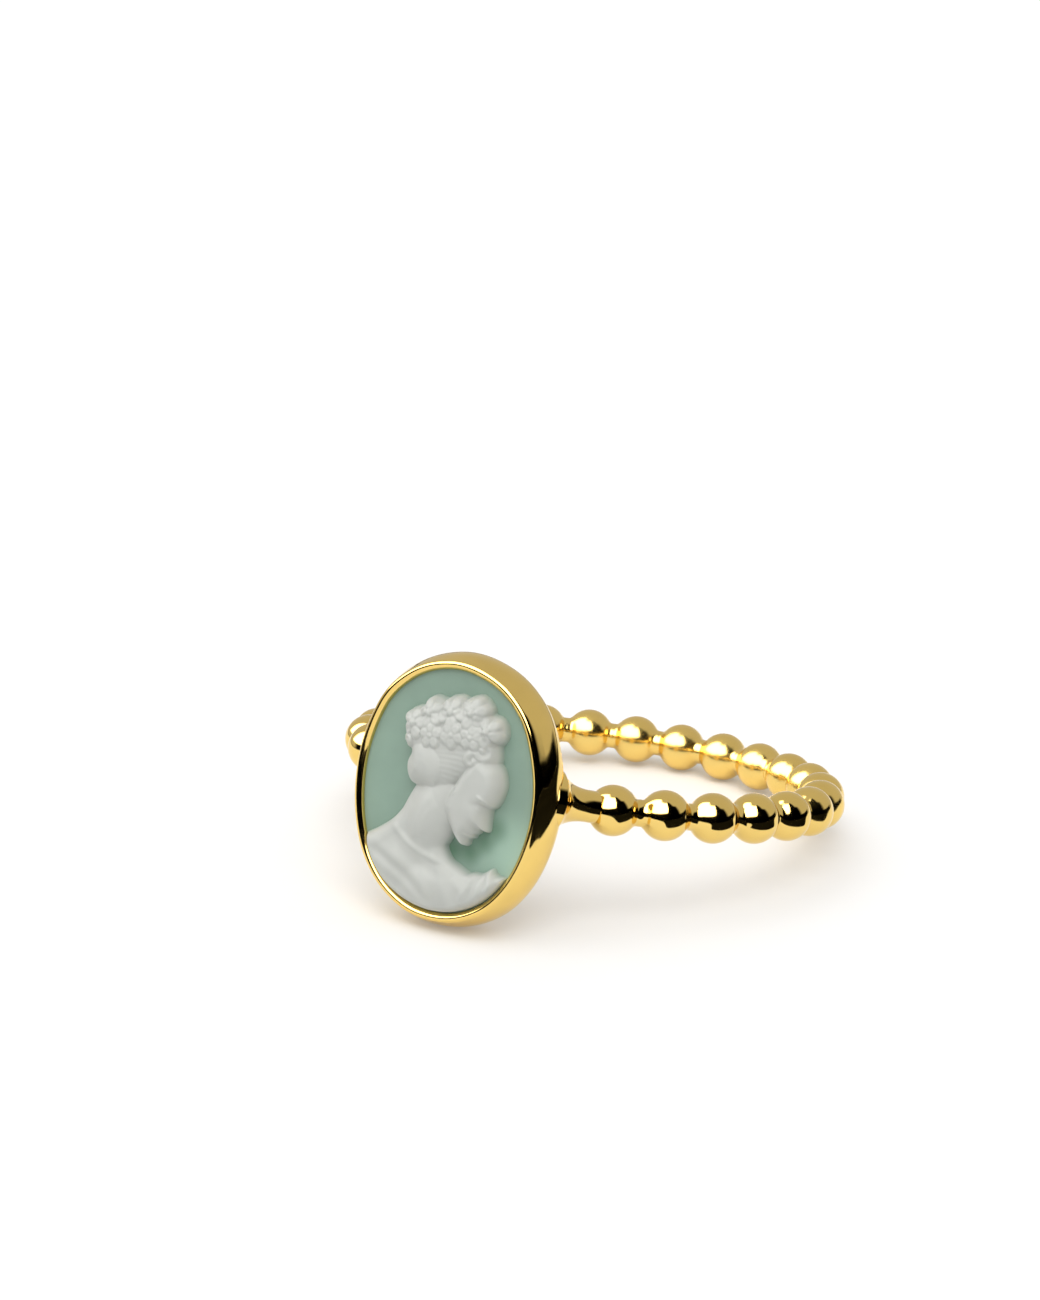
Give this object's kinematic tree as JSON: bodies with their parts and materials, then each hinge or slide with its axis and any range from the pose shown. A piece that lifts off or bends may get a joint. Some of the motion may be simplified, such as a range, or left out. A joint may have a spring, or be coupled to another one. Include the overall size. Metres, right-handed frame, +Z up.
{
  "type": "cameo ring",
  "caption": "Finger ring with an oval carved cameo in a rounded gold-coloured bezel on a shank of beaded wire, lying on its side.",
  "frame": {"origin": "on the surface that the ring lies on, under the middle of its outer box", "axes": "+Z up from the surface, +Y from the bezel towards the back of the shank, +X to the right of the cameo as its wearer looks at it"},
  "size_m": [0.0214, 0.0238, 0.0109],
  "materials": {
    "gold": "polished",
    "cameo_green": "satin",
    "cameo_white": "satin"
  },
  "bodies": {
    "root": {"gold_ring": "gold", "cameo_ground": "cameo_green", "cameo_relief": "cameo_white"}
  },
  "joints": []
}
